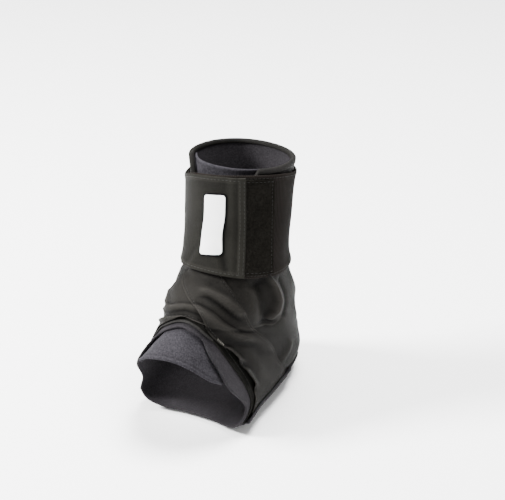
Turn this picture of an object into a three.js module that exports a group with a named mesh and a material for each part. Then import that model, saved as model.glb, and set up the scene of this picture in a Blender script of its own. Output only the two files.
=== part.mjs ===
// An ankle brace for a left foot, standing free in the shape it has when worn.
// Millimetres. X points to the wearer's left (the outer side), the toes point along -Y, Z is up.
// The origin lies on the floor, straight below the ankle's centre.
import * as THREE from 'three';

// The foot and shank that the brace is shaped on
const SHANK_LENGTH = 111;
const SHANK_WIDTH = 65;
const SHANK_DEPTH = 69;
const SHANK_LEAN = 8;
const SHANK_TILT = 2.4;
const ANKLE_RISE = 84;
const ANKLE_REACH = 68;
const FOOT_REACH = 190;
const FOOT_WIDTH = 88;

// Thickness of each layer
const TONGUE_THICKNESS = 2.6;
const TONGUE_EDGE = 1.7;
const LINER_THICKNESS = 2;
const SHELL_THICKNESS = 0.9;
const STRAP_THICKNESS = 1;
const CUFF_THICKNESS = 1.6;
const LOOP_THICKNESS = 1.2;
const TAB_THICKNESS = 1.5;
const LABEL_THICKNESS = 0.8;
const BINDING_THICKNESS = 0.7;
const SOLE_THICKNESS = 1.4;
const LAYER_GAP = 0.35;
const TONGUE_GAP = 0.8;
const STRAP_GAP = 0.9;
const LABEL_GAP = 0.5;

// The cuff and what lies on it
const RIM_HEIGHT = 8.5;
const CUFF_HEIGHT = 79;
const STRAP_TUCK = 12;
const TAB_MARGIN = 1;
const LOOP_MARGIN = 3;
const LOOP_TUCK = 12;
const LABEL_WIDTH = 16.8;
const LABEL_HEIGHT = 51;
const LABEL_DROP = 15.4;
const LABEL_TURN = 3;
const FOLD_HEIGHT = 2;
const FOLD_WIDTH = 10;

// Offsets of the layers from the foot, worked outward
const LINER_INNER = TONGUE_THICKNESS + TONGUE_GAP;
const LINER_OUTER = LINER_INNER + LINER_THICKNESS;
const SHELL_INNER = LINER_OUTER + LAYER_GAP;
const SHELL_OUTER = SHELL_INNER + SHELL_THICKNESS;
const UNDER_INNER = SHELL_OUTER + STRAP_GAP;
const UNDER_OUTER = UNDER_INNER + STRAP_THICKNESS;
const OVER_INNER = UNDER_OUTER + STRAP_GAP;
const OVER_OUTER = OVER_INNER + STRAP_THICKNESS;
const SOLE_INNER = SHELL_OUTER + LAYER_GAP;
const SOLE_LEVEL = SOLE_INNER + SOLE_THICKNESS;

// Sections of the shank, from the rim down: height as a share of the shank's length,
// reach to the front and back as shares of its depth, to the inner and outer side of its width
const SHANK_SECTIONS = [
  { up: 1.0, front: 0.536, back: 0.543, inner: 0.492, outer: 0.569 },
  { up: 0.8, front: 0.507, back: 0.500, inner: 0.469, outer: 0.538 },
  { up: 0.6, front: 0.500, back: 0.486, inner: 0.469, outer: 0.523 },
  { up: 0.4, front: 0.526, back: 0.486, inner: 0.450, outer: 0.503 },
  { up: 0.2, front: 0.612, back: 0.536, inner: 0.446, outer: 0.518 },
];

// Sections that fan from the instep through the heel to the midfoot: the point on the instep and
// the point on the heel or sole, each as a share of the foot's reach and of the ankle's rise,
// the two half widths as shares of the foot's width, the height of the widest place, and how
// square the two halves of the section are
const FOOT_SECTIONS = [
  {
    topReach: 0.618, topRise: 1.204, soleReach: 0.078, soleRise: 0.793,
    inner: 0.422, outer: 0.431, widest: 0.50, top: 2.1, sole: 1.9,
  },
  {
    topReach: 0.675, topRise: 1.118, soleReach: 0.052, soleRise: 0.531,
    inner: 0.428, outer: 0.410, widest: 0.46, top: 2.1, sole: 1.9,
  },
  {
    topReach: 0.727, topRise: 1.042, soleReach: 0.023, soleRise: 0.300,
    inner: 0.418, outer: 0.381, widest: 0.42, top: 2.1, sole: 2.1,
  },
  {
    topReach: 0.774, topRise: 0.968, soleReach: 0.027, soleRise: 0.072,
    inner: 0.409, outer: 0.384, widest: 0.38, top: 2.1, sole: 2.5,
  },
  {
    topReach: 0.818, topRise: 0.902, soleReach: 0.163, soleRise: -0.010,
    inner: 0.420, outer: 0.400, widest: 0.33, top: 2.1, sole: 2.9,
  },
  {
    topReach: 0.866, topRise: 0.861, soleReach: 0.336, soleRise: -0.018,
    inner: 0.447, outer: 0.425, widest: 0.30, top: 2.1, sole: 3.0,
  },
  {
    topReach: 0.908, topRise: 0.801, soleReach: 0.509, soleRise: -0.018,
    inner: 0.475, outer: 0.450, widest: 0.30, top: 2.1, sole: 3.0,
  },
  {
    topReach: 0.955, topRise: 0.748, soleReach: 0.672, soleRise: -0.018,
    inner: 0.510, outer: 0.506, widest: 0.30, top: 2.1, sole: 3.0,
  },
  {
    topReach: 1.000, topRise: 0.712, soleReach: 0.811, soleRise: -0.018,
    inner: 0.523, outer: 0.534, widest: 0.30, top: 2.1, sole: 3.0,
  },
];
const SHANK_SHARE = SHANK_SECTIONS.length / (SHANK_SECTIONS.length + FOOT_SECTIONS.length - 1);

// Broad hollows and bulges of the worn brace, which every layer follows. A place is given as
// [along, around]: along runs from 0 at the rim to 1 at the last section, around is in degrees
// from the front over the outer side. Rise and width are shares of the fold's height and width.
const BODY_RELIEF = [
  { line: [[0.34, 60], [0.42, 70], [0.49, 77]], rise: -0.95, width: 0.95 },
  { line: [[0.34, -66], [0.42, -76], [0.49, -84]], rise: -0.8, width: 0.95 },
  { line: [[0.57, 54], [0.60, 66]], rise: 0.8, width: 1.2 },
  { line: [[0.36, 100], [0.46, 103]], rise: -0.55, width: 0.9 },
  { line: [[0.36, -104], [0.46, -106]], rise: -0.5, width: 0.9 },
];

// Folds that only the two straps carry, raised off the layer below
const OVER_FOLDS = [
  { line: [[0.40, 16], [0.42, 28], [0.45, 40]], rise: 0.45, width: 0.8 },
  { line: [[0.51, 18], [0.54, 36], [0.58, 52]], rise: 0.7, width: 0.9 },
  { line: [[0.68, 66], [0.76, 80]], rise: 0.4, width: 0.9 },
];
const UNDER_FOLDS = [
  { line: [[0.31, 80], [0.36, 84], [0.43, 86], [0.50, 83]], rise: 0.8, width: 0.6 },
  { line: [[0.60, -30], [0.575, -12]], rise: 0.35, width: 0.7 },
  { line: [[0.42, -50], [0.48, -40]], rise: 0.35, width: 0.8 },
];

// Edges of the layers: how far along the edge lies, at each place around
const NOTCH_EDGE = [[-52, 0], [-40, 0.045], [-24, 0.10], [0, 0.14], [24, 0.10], [40, 0.045], [50, 0]];
const SHELL_FRONT = [
  [-180, 0.92], [-115, 0.92], [-105, 0.905], [-90, 0.868], [-78, 0.838], [-64, 0.803], [-52, 0.765],
  [-40, 0.715], [-30, 0.675], [-16, 0.632], [0, 0.592], [12, 0.602], [24, 0.640], [34, 0.675], [43, 0.722],
  [56, 0.775], [66, 0.803], [80, 0.838], [90, 0.862], [105, 0.905], [115, 0.92], [180, 0.92],
];
const LINER_FRONT = [
  [-180, 0.935], [-115, 0.935], [-105, 0.927], [-90, 0.897], [-66, 0.878], [-57, 0.855], [-46, 0.805],
  [-38, 0.755], [-28, 0.700], [-14, 0.655], [0, 0.622], [12, 0.640], [23, 0.668], [30, 0.725], [37, 0.770],
  [45, 0.805], [57, 0.855], [66, 0.878], [90, 0.893], [105, 0.925], [115, 0.935], [180, 0.935],
];
const TONGUE_FRONT = [
  [-60, 0.868], [-50, 0.880], [-20, 0.877], [8, 0.862], [30, 0.870], [50, 0.878], [60, 0.866],
];
const OVER_FRONT = [
  [-42, 0.262], [-34, 0.310], [-22, 0.383], [-10, 0.440], [0, 0.482], [8, 0.515], [16, 0.560], [24, 0.615],
  [33, 0.657], [43, 0.708], [56, 0.762], [66, 0.790], [80, 0.824], [90, 0.848], [105, 0.885], [112, 0.892],
];
const OVER_REAR = [
  [8, 0.25], [24, 0.335], [41, 0.422], [52, 0.480], [63, 0.545], [75, 0.608], [90, 0.685], [105, 0.715],
  [112, 0.722],
];
const UNDER_FRONT = [
  [-112, 0.892], [-105, 0.885], [-90, 0.850], [-80, 0.824], [-66, 0.790], [-50, 0.735], [-36, 0.682],
  [-22, 0.640], [-10, 0.600], [-1, 0.568], [10, 0.572], [18, 0.575], [30, 0.562], [45, 0.540], [60, 0.525],
  [72, 0.512], [84, 0.503], [89, 0.47],
];
const UNDER_REAR = [
  [-112, 0.722], [-105, 0.715], [-90, 0.685], [-75, 0.608], [-63, 0.545], [-52, 0.480], [-41, 0.422],
  [-24, 0.335], [-8, 0.25],
];

// How far the cuff's upper edge lies below the rim, as a share of the rim's height over it
const CUFF_EDGE = [
  [-180, 1], [-110, 1.4], [-60, 1.8], [-20, 0.9], [5, 0.57], [38, 0.3], [75, 0.42], [118, 1], [180, 1],
];

// Where each piece starts and ends around the brace, in degrees
const TONGUE_SPAN = [-60, 60];
const OVER_SPAN = [-40, 112];
const UNDER_SPAN = [-112, 88];
const STRAPS_SPAN = [-40, 92];
const STRAPS_RAMP = 30;
const TAB_START = -110;
const TAB_END = [35.5, 40.5];
const LOOP_END = [67, 75];
const BINDING_SPAN = [52, 306];
const SOLE_SPAN = [120, 240];
const SOLE_ROWS = 7;
const LABEL_PLACE = 5.2;

// Facets of the solids
const RING_FACETS = 36;
const BODY_FACETS = 22;

// A distance below the rim as a place along
const atDrop = (drop) => (drop / SHANK_LENGTH) * SHANK_SHARE;
const radians = (degrees) => (degrees * Math.PI) / 180;
const mix = (a, b, t) => a + (b - a) * t;
const clamp = (x, low, high) => Math.min(Math.max(x, low), high);
const ease = (t) => {
  const s = clamp(t, 0, 1);
  return s * s * (3 - 2 * s);
};

// One section as numbers: instep point, heel or sole point, half widths, widest place,
// squareness of both halves, and how far the section's middle lies to the inner side
function shankSection(row) {
  const lean = radians(SHANK_LEAN);
  const rise = row.up * SHANK_LENGTH;
  const reach = ANKLE_REACH - rise * Math.sin(lean);
  const height = SOLE_LEVEL + ANKLE_RISE + rise * Math.cos(lean);
  const front = row.front * SHANK_DEPTH;
  const back = row.back * SHANK_DEPTH;
  return [
    reach + front * Math.cos(lean), height + front * Math.sin(lean),
    reach - back * Math.cos(lean), height - back * Math.sin(lean),
    row.inner * SHANK_WIDTH, row.outer * SHANK_WIDTH, 0.52, 2.1, 2.1,
    -Math.max(rise - 0.2 * SHANK_LENGTH, 0) * Math.tan(radians(SHANK_TILT)),
  ];
}

function footSection(row) {
  return [
    row.topReach * FOOT_REACH, SOLE_LEVEL + row.topRise * ANKLE_RISE,
    row.soleReach * FOOT_REACH, SOLE_LEVEL + row.soleRise * ANKLE_RISE,
    row.inner * FOOT_WIDTH, row.outer * FOOT_WIDTH, row.widest, row.top, row.sole, 0,
  ];
}

const SECTIONS = [...SHANK_SECTIONS.map(shankSection), ...FOOT_SECTIONS.map(footSection)];

// A smooth blend of the sections at any place along
function sectionAt(along) {
  const last = SECTIONS.length - 1;
  const x = clamp(along, 0, 1) * last;
  const k = Math.min(Math.floor(x), last - 1);
  const w = x - k;
  const b = SECTIONS[k];
  const c = SECTIONS[k + 1];
  const a = k > 0 ? SECTIONS[k - 1] : b.map((v, i) => 2 * v - c[i]);
  const d = k < last - 1 ? SECTIONS[k + 2] : c.map((v, i) => 2 * v - b[i]);
  return b.map((v, i) => 0.5 * (2 * v + (c[i] - a[i]) * w + (2 * a[i] - 5 * v + 4 * c[i] - d[i]) * w * w
    + (3 * v - a[i] - 3 * c[i] + d[i]) * w * w * w));
}

// The smooth foot and shank, without hollows or bulges
function barePoint(along, around) {
  const section = sectionAt(along);
  const [topReach, topHeight, soleReach, soleHeight, inner, outer, widest, top, sole, side] = section;
  const c = Math.cos(radians(around));
  const s = Math.sin(radians(around));
  const power = 2 / (c > 0 ? top : sole);
  const middleReach = mix(soleReach, topReach, widest);
  const middleHeight = mix(soleHeight, topHeight, widest);
  const share = Math.abs(c) ** power;
  const reach = mix(middleReach, c > 0 ? topReach : soleReach, share);
  const height = mix(middleHeight, c > 0 ? topHeight : soleHeight, share);
  const width = (s > 0 ? outer : -inner) * Math.abs(s) ** power;
  return new THREE.Vector3(side + width, ANKLE_REACH - reach, Math.max(height, SOLE_LEVEL));
}

function bareNormal(along, around) {
  const step = 0.004;
  const down = barePoint(Math.min(along + step, 1), around).sub(barePoint(Math.max(along - step, 0), around));
  const round = barePoint(along, around + 1).sub(barePoint(along, around - 1));
  return down.cross(round).normalize();
}

// How far a set of folds lifts the surface at a place
const alongScale = SHANK_LENGTH + 0.8 * FOOT_REACH;
const aroundScale = radians(0.5 * FOOT_WIDTH);
function lift(folds, along, around) {
  let total = 0;
  for (const fold of folds) {
    let near = Infinity;
    for (let k = 1; k < fold.line.length; k += 1) {
      const [a, b] = [fold.line[k - 1], fold.line[k]];
      const turn = Math.round((around - a[1]) / 360) * 360;
      const from = [(along - a[0]) * alongScale, (around - turn - a[1]) * aroundScale];
      const span = [(b[0] - a[0]) * alongScale, (b[1] - a[1]) * aroundScale];
      const t = clamp((from[0] * span[0] + from[1] * span[1]) / (span[0] ** 2 + span[1] ** 2), 0, 1);
      near = Math.min(near, Math.hypot(from[0] - t * span[0], from[1] - t * span[1]));
    }
    total += fold.rise * FOLD_HEIGHT * Math.exp(-((near / (fold.width * FOLD_WIDTH)) ** 2));
  }
  return total;
}

// A point of the worn brace: a place on the foot, an offset outward, and a height above the rim
function place(along, around, offset, above = 0) {
  const out = bareNormal(along, around).multiplyScalar(offset + lift(BODY_RELIEF, along, around));
  const point = barePoint(along, around).add(out);
  if (above) {
    const up = barePoint(0, around).sub(barePoint(0.01, around)).normalize();
    point.addScaledVector(up, above);
  }
  return point;
}

// The edge's place along, read from its table
function edgeAt(table, around) {
  if (around <= table[0][0]) return table[0][1];
  for (let k = 1; k < table.length; k += 1) {
    if (around <= table[k][0]) {
      const [a, b] = [table[k - 1], table[k]];
      return mix(a[1], b[1], (around - a[0]) / (b[0] - a[0]));
    }
  }
  return table[table.length - 1][1];
}

const signed = (around) => around - 360 * Math.round(around / 360);

// Rows of a tall layer keep to the same places along in all layers, and only close to
// its two edges do they crowd or spread to meet them
function rowAt(share, start, end) {
  const middle = (start + end) / 2;
  const low = Math.min(start + 0.1, middle);
  const high = Math.max(end - 0.1, middle);
  if (share < low) return mix(start, low, share / low);
  if (share > high) return mix(high, end, (share - high) / (1 - high));
  return share;
}

function solid(points, faces) {
  const geometry = new THREE.BufferGeometry();
  geometry.setAttribute('position', new THREE.Float32BufferAttribute(points.flatMap((p) => p.toArray()), 3));
  geometry.setIndex(faces);
  geometry.computeVertexNormals();
  return geometry;
}

// A closed solid between an outer and an inner grid of the same columns and rows
function slab(columns, rows, closed, at) {
  const points = [];
  const faces = [];
  const count = closed ? columns : columns + 1;
  for (const side of [1, 0]) {
    for (let i = 0; i < count; i += 1) {
      for (let j = 0; j <= rows; j += 1) points.push(at(i / columns, j / rows, side));
    }
  }
  const id = (side, i, j) => (side ? 0 : count * (rows + 1)) + (i % count) * (rows + 1) + j;
  const quad = (a, b, c, d) => faces.push(a, b, c, a, c, d);
  for (let i = 0; i < columns; i += 1) {
    for (let j = 0; j < rows; j += 1) {
      quad(id(1, i, j), id(1, i, j + 1), id(1, i + 1, j + 1), id(1, i + 1, j));
      quad(id(0, i, j), id(0, i + 1, j), id(0, i + 1, j + 1), id(0, i, j + 1));
    }
    quad(id(1, i, 0), id(1, i + 1, 0), id(0, i + 1, 0), id(0, i, 0));
    quad(id(1, i, rows), id(0, i, rows), id(0, i + 1, rows), id(1, i + 1, rows));
  }
  if (!closed) {
    for (let j = 0; j < rows; j += 1) {
      quad(id(1, 0, j), id(0, 0, j), id(0, 0, j + 1), id(1, 0, j + 1));
      quad(id(1, columns, j), id(1, columns, j + 1), id(0, columns, j + 1), id(0, columns, j));
    }
  }
  return solid(points, faces);
}

const group = new THREE.Group();

function addPiece(name, geometry, color, roughness) {
  const material = new THREE.MeshStandardMaterial({ color, roughness, metalness: 0 });
  const mesh = new THREE.Mesh(geometry, material);
  mesh.name = name;
  group.add(mesh);
}

const FELT = 0x5b585f;
const HEATHER = 0x504e52;
const NYLON = 0x33322e;
const STRAP = 0x3f3e3a;
const ELASTIC = 0x36332f;
const VELVET = 0x1d1c19;
const TAB = 0x4a4842;
const WHITE = 0xf2f2f0;

// Padded tongue, from the midfoot up past the rim
addPiece('tongue', slab(10, BODY_FACETS, false, (s, t, side) => {
  const around = mix(TONGUE_SPAN[0], TONGUE_SPAN[1], s);
  const along = rowAt(t, 0, edgeAt(TONGUE_FRONT, around));
  const thickness = mix(TONGUE_THICKNESS, TONGUE_EDGE, ease((Math.abs(2 * s - 1) - 0.35) / 0.4));
  return place(along, around, side ? thickness : 0);
}), HEATHER, 0.95);

// Felt liner and nylon shell: closed at the heel and under the foot, arched over the tongue
// in front, with a notch in front at the rim
function body(front, innerOffset, outerOffset) {
  return slab(RING_FACETS, BODY_FACETS, true, (s, t, side) => {
    const around = signed(s * 360);
    const along = rowAt(t, edgeAt(NOTCH_EDGE, around), edgeAt(front, around));
    return place(along, around, side ? outerOffset : innerOffset);
  });
}
addPiece('liner', body(LINER_FRONT, LINER_INNER, LINER_OUTER), FELT, 0.95);
addPiece('shell', body(SHELL_FRONT, SHELL_INNER, SHELL_OUTER), NYLON, 0.8);

// Tape folded over the rim, ending just over the cuff's highest place
const BINDING_DEPTH = RIM_HEIGHT * Math.min(...CUFF_EDGE.map(([, share]) => share)) - LAYER_GAP;
const BINDING_LOOP = [
  [SHELL_OUTER + LAYER_GAP, BINDING_DEPTH],
  [SHELL_OUTER + LAYER_GAP + BINDING_THICKNESS, BINDING_DEPTH],
  [SHELL_OUTER + LAYER_GAP + BINDING_THICKNESS, -LAYER_GAP - 0.6 * BINDING_THICKNESS],
  [SHELL_OUTER, -LAYER_GAP - BINDING_THICKNESS],
  [LINER_INNER, -LAYER_GAP - BINDING_THICKNESS],
  [LINER_INNER - LAYER_GAP - BINDING_THICKNESS, -LAYER_GAP - 0.6 * BINDING_THICKNESS],
  [LINER_INNER - LAYER_GAP - BINDING_THICKNESS, BINDING_DEPTH],
  [LINER_INNER - LAYER_GAP, BINDING_DEPTH],
  [LINER_INNER - LAYER_GAP, -LAYER_GAP],
  [SHELL_OUTER + LAYER_GAP, -LAYER_GAP],
];
function channel(loop, start, end, steps) {
  const points = [];
  const faces = [];
  const count = loop.length;
  for (let i = 0; i <= steps; i += 1) {
    for (const [offset, drop] of loop) {
      points.push(place(atDrop(Math.max(drop, 0)), mix(start, end, i / steps), offset, Math.max(-drop, 0)));
    }
  }
  for (let i = 0; i < steps; i += 1) {
    for (let k = 0; k < count; k += 1) {
      const a = i * count + k;
      const b = i * count + ((k + 1) % count);
      faces.push(a, a + count, b, b, a + count, b + count);
    }
  }
  const outline = loop.map(([offset, drop]) => new THREE.Vector2(offset, drop));
  const far = steps * count;
  for (const [a, b, c] of THREE.ShapeUtils.triangulateShape(outline, [])) {
    faces.push(a, c, b, far + a, far + b, far + c);
  }
  return solid(points, faces);
}
addPiece('rim_binding', channel(BINDING_LOOP, BINDING_SPAN[0], BINDING_SPAN[1], 20), STRAP, 0.85);

// The two straps cross on the instep, tucked under the cuff and sewn down beside the sole
const CUFF_END = atDrop(RIM_HEIGHT + CUFF_HEIGHT);
const STRAP_TOP = atDrop(RIM_HEIGHT + CUFF_HEIGHT - STRAP_TUCK);
function strap(span, columns, rows, front, rear, folds, innerOffset) {
  return slab(columns, rows, false, (s, t, side) => {
    const around = mix(span[0], span[1], s);
    const start = Math.max(edgeAt(rear, around), STRAP_TOP);
    const end = Math.max(edgeAt(front, around), start + 0.01);
    const along = mix(start, end, t);
    return place(along, around, innerOffset + lift(folds, along, around) + (side ? STRAP_THICKNESS : 0));
  });
}
const strapUnder = strap(UNDER_SPAN, 25, 12, UNDER_FRONT, UNDER_REAR, UNDER_FOLDS, UNDER_INNER);
const strapOver = strap(OVER_SPAN, 19, 8, OVER_FRONT, OVER_REAR, OVER_FOLDS, OVER_INNER);
addPiece('strap_under', strapUnder, STRAP, 0.75);
addPiece('strap_over', strapOver, STRAP, 0.75);

// Panel under the foot, the flat face that the brace stands on
const SOLE_START = 1 - SOLE_ROWS / BODY_FACETS;
addPiece('sole', slab(12, SOLE_ROWS, false, (s, t, side) => {
  const around = mix(SOLE_SPAN[0], SOLE_SPAN[1], s);
  const along = rowAt(mix(SOLE_START, 1, t), 0, edgeAt(SHELL_FRONT, 180));
  return place(along, around, side ? SOLE_LEVEL : SOLE_INNER);
}), FELT, 0.9);

// Elastic cuff, wider at its lower edge in front and on the outer side, where it runs over the straps
const cuffTop = (around) => atDrop(RIM_HEIGHT * edgeAt(CUFF_EDGE, signed(around)));
const tabTop = (around) => cuffTop(around) + atDrop(TAB_MARGIN);
function cuffInner(along, around) {
  const low = STRAP_TOP - 0.02;
  const overStraps = OVER_OUTER + LAYER_GAP + 0.45 * FOLD_HEIGHT;
  const angle = signed(around);
  const beside = Math.max(STRAPS_SPAN[0] - angle, angle - STRAPS_SPAN[1]);
  const covers = 1 - ease(beside / STRAPS_RAMP);
  return mix(UNDER_INNER, overStraps, covers * ease((along - 0.5 * low) / (0.5 * low)));
}
addPiece('cuff', slab(RING_FACETS, 5, true, (s, t, side) => {
  const along = mix(cuffTop(s * 360), CUFF_END, t);
  return place(along, s * 360, cuffInner(along, s * 360) + (side ? CUFF_THICKNESS : 0));
}), ELASTIC, 0.8);

// Loop patch on the outer front of the cuff, and the closing tab that laps over its near edge
const LOOP_INNER = CUFF_THICKNESS + LAYER_GAP;
addPiece('loop_patch', slab(5, 5, false, (s, t, side) => {
  const start = mix(TAB_END[0], TAB_END[1], t) - LOOP_TUCK;
  const around = mix(start, mix(LOOP_END[0], LOOP_END[1], t), s);
  const along = mix(cuffTop(around) + atDrop(LOOP_MARGIN), CUFF_END - atDrop(LOOP_MARGIN), t);
  return place(along, around, cuffInner(along, around) + LOOP_INNER + (side ? LOOP_THICKNESS : 0));
}), VELVET, 1);

function tabInner(along, around, share) {
  const edge = mix(TAB_END[0], TAB_END[1], share) - LOOP_TUCK;
  const step = (LOOP_THICKNESS + LAYER_GAP) * ease((around - edge + 16) / 12);
  return cuffInner(along, around) + CUFF_THICKNESS + LAYER_GAP + step;
}
const TAB_LOW = CUFF_END - atDrop(TAB_MARGIN);
addPiece('closure_tab', slab(15, 5, false, (s, t, side) => {
  const around = mix(TAB_START, mix(TAB_END[0], TAB_END[1], t), s);
  const along = mix(tabTop(around), TAB_LOW, t);
  return place(along, around, tabInner(along, around, t) + (side ? TAB_THICKNESS : 0));
}), TAB, 0.8);

// Blank label on the tab
addPiece('label', slab(3, 4, false, (s, t, side) => {
  const drop = LABEL_DROP + LABEL_HEIGHT * t - LABEL_TURN * (s - 0.5);
  const along = tabTop(LABEL_PLACE) + atDrop(drop);
  const radius = 0.5 * SHANK_WIDTH + cuffInner(along, LABEL_PLACE) + CUFF_THICKNESS + TAB_THICKNESS;
  const half = (0.5 * LABEL_WIDTH / radius) * (180 / Math.PI);
  const around = LABEL_PLACE + mix(-half, half, s);
  const share = (along - tabTop(around)) / (TAB_LOW - tabTop(around));
  const base = tabInner(along, around, share) + TAB_THICKNESS + LABEL_GAP;
  return place(along, around, base + (side ? LABEL_THICKNESS : 0));
}), WHITE, 0.5);

export default group;
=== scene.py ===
"""An ankle brace for a left foot, standing free in the shape it has when worn.

The cloth pieces are built on one smooth foot and shank, the same that the solids are built on.
Lengths in the tables are millimetres; meshes are made in metres. A place on the brace is
(along, around): along runs from 0 at the rim to 1 at the midfoot, around is in degrees from the
front over the outer side, and an offset is the height over the foot.
"""

import math

import bpy
import numpy as np
from mathutils import Matrix, Vector


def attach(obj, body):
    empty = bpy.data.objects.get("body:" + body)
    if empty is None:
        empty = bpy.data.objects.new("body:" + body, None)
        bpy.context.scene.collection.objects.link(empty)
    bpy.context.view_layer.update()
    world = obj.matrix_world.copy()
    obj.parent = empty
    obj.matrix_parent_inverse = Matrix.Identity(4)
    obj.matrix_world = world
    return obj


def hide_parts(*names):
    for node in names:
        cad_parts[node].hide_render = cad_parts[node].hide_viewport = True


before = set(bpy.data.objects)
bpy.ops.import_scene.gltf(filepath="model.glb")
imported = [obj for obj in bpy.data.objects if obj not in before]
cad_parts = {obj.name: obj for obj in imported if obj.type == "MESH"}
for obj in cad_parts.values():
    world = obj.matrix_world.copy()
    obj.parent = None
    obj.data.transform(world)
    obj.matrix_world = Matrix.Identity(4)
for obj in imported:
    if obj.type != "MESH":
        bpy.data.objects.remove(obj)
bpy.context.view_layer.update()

# Sizes of the foot, the shank and the layers
SHANK_LENGTH, SHANK_WIDTH, SHANK_DEPTH = 111.0, 65.0, 69.0
SHANK_LEAN, SHANK_TILT = math.radians(8), math.radians(2.4)
ANKLE_RISE, ANKLE_REACH, FOOT_REACH, FOOT_WIDTH = 84.0, 68.0, 190.0, 88.0
SOLE_LEVEL = 8.4
SHANK_SECTIONS = [  # up, front, back, inner, outer
    (1.0, 0.536, 0.543, 0.492, 0.569),
    (0.8, 0.507, 0.500, 0.469, 0.538),
    (0.6, 0.500, 0.486, 0.469, 0.523),
    (0.4, 0.526, 0.486, 0.450, 0.503),
    (0.2, 0.612, 0.536, 0.446, 0.518),
]
FOOT_SECTIONS = [  # top reach, top rise, sole reach, sole rise, inner, outer, widest, top, sole
    (0.618, 1.204, 0.078, 0.793, 0.422, 0.431, 0.50, 2.1, 1.9),
    (0.675, 1.118, 0.052, 0.531, 0.428, 0.410, 0.46, 2.1, 1.9),
    (0.727, 1.042, 0.023, 0.300, 0.418, 0.381, 0.42, 2.1, 2.1),
    (0.774, 0.968, 0.027, 0.072, 0.409, 0.384, 0.38, 2.1, 2.5),
    (0.818, 0.902, 0.163, -0.010, 0.420, 0.400, 0.33, 2.1, 2.9),
    (0.866, 0.861, 0.336, -0.018, 0.447, 0.425, 0.30, 2.1, 3.0),
    (0.908, 0.801, 0.509, -0.018, 0.475, 0.450, 0.30, 2.1, 3.0),
    (0.955, 0.748, 0.672, -0.018, 0.510, 0.506, 0.30, 2.1, 3.0),
    (1.000, 0.712, 0.811, -0.018, 0.523, 0.534, 0.30, 2.1, 3.0),
]
SHANK_SHARE = 5 / 13
ALONG_MM = SHANK_LENGTH + 0.8 * FOOT_REACH
AROUND_MM = math.radians(0.5 * FOOT_WIDTH)
ALONG_MM_ABOVE = SHANK_LENGTH / SHANK_SHARE

# Offsets of the layers: inner face, and thickness
TONGUE_INNER = 0.0
LINER = (3.4, 2.0)
SHELL = (5.6, 0.9)
UNDER = (6.8, 1.0)
OVER_RISE = 1.5
SOLE = (6.75, 1.65)
CUFF_INNER = SHELL[0] + SHELL[1] + 0.75
CUFF_THICK, LOOP_THICK, TAB_THICK = 1.6, 1.2, 1.5
TAPE_THICK = 0.45
CLOTH_UV = 100.0  # millimetres of cloth in one unit of its own coordinates


def drop(mm):
    """A distance below the rim as a place along."""
    return mm / SHANK_LENGTH * SHANK_SHARE


RIM_HEIGHT, CUFF_HEIGHT, CUFF_HANG, STRAP_TUCK, BINDING_DEPTH = 8.5, 79.0, 1.5, 12.0, 2.2
CUFF_END = drop(RIM_HEIGHT + CUFF_HEIGHT + CUFF_HANG)
STRAP_TOP = drop(RIM_HEIGHT + CUFF_HEIGHT - STRAP_TUCK)

# Edges: how far along the edge lies at each place around; the cuff's in shares of the rim's height
CUFF_EDGE = [(-180, 1), (-110, 1.4), (-60, 1.8), (-20, .9), (5, .57), (38, .3), (75, .42), (118, 1),
             (180, 1)]
NOTCH_EDGE = [(-52, 0), (-40, .045), (-24, .10), (0, .14), (24, .10), (40, .045), (50, 0)]
SHELL_FRONT = [
    (-180, .92), (-115, .92), (-105, .905), (-90, .868), (-78, .838), (-64, .803), (-52, .765),
    (-40, .715), (-30, .675), (-16, .632), (0, .592), (12, .602), (24, .640), (34, .675),
    (43, .722), (56, .775), (66, .803), (80, .838), (90, .862), (105, .905), (115, .92), (180, .92)]
LINER_FRONT = [
    (-180, .935), (-115, .935), (-105, .927), (-90, .897), (-66, .878), (-57, .855), (-46, .805),
    (-38, .755), (-28, .700), (-14, .655), (0, .622), (12, .640), (23, .668), (30, .725),
    (37, .770), (45, .805), (57, .855), (66, .878), (90, .893), (105, .925), (115, .935),
    (180, .935)]
TONGUE_FRONT = [(-60, .868), (-50, .880), (-20, .877), (8, .862), (30, .870), (50, .878), (60, .866)]
OVER_FRONT = [
    (-42, .262), (-34, .310), (-22, .383), (-10, .440), (0, .482), (8, .515), (16, .560),
    (24, .615), (33, .655), (43, .695), (56, .742), (66, .777), (80, .810), (90, .843),
    (105, .885), (112, .892)]
OVER_REAR = [
    (-42, .20), (-10, .22), (8, .255), (24, .335), (41, .422), (52, .480), (63, .545), (75, .608),
    (90, .685), (105, .715), (112, .722)]
UNDER_FRONT = [
    (-112, .892), (-105, .885), (-90, .850), (-80, .824), (-66, .790), (-50, .735), (-36, .682),
    (-22, .640), (-10, .600), (-1, .568), (10, .572), (18, .575), (30, .562), (45, .540),
    (60, .525), (72, .512), (84, .503), (89, .47)]
UNDER_REAR = [
    (-112, .722), (-105, .715), (-90, .685), (-75, .608), (-63, .545), (-52, .480), (-41, .422),
    (-24, .335), (-8, .255), (10, .22), (90, .20)]
TONGUE_SPAN, OVER_SPAN, UNDER_SPAN = (-60, 60), (-40, 112), (-112, 88)
TAB_START, TAB_END, LOOP_END, LOOP_TUCK = -110.0, (35.5, 40.5), (67.0, 75.0), 12.0
SOLE_SPAN, SOLE_ALONG, SOLE_ROUNDING = (107.5, 252.5), (0.635, 0.918), 0.42
NOTCH_REACH = 52
ARCH_SPAN, ARCH_TAPE_WIDTH, ARCH_TAPE_PAST = (-112, 30), 4.2, 0.5
LABEL_PLACE, LABEL_WIDTH, LABEL_HEIGHT, LABEL_DROP, LABEL_TURN = 4.9, 16.8, 51.0, 15.4, 3.0
LABEL_BOW, LABEL_BOW_PLACE, LABEL_MARGIN = 1.4, 8.0, 1.3

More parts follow.
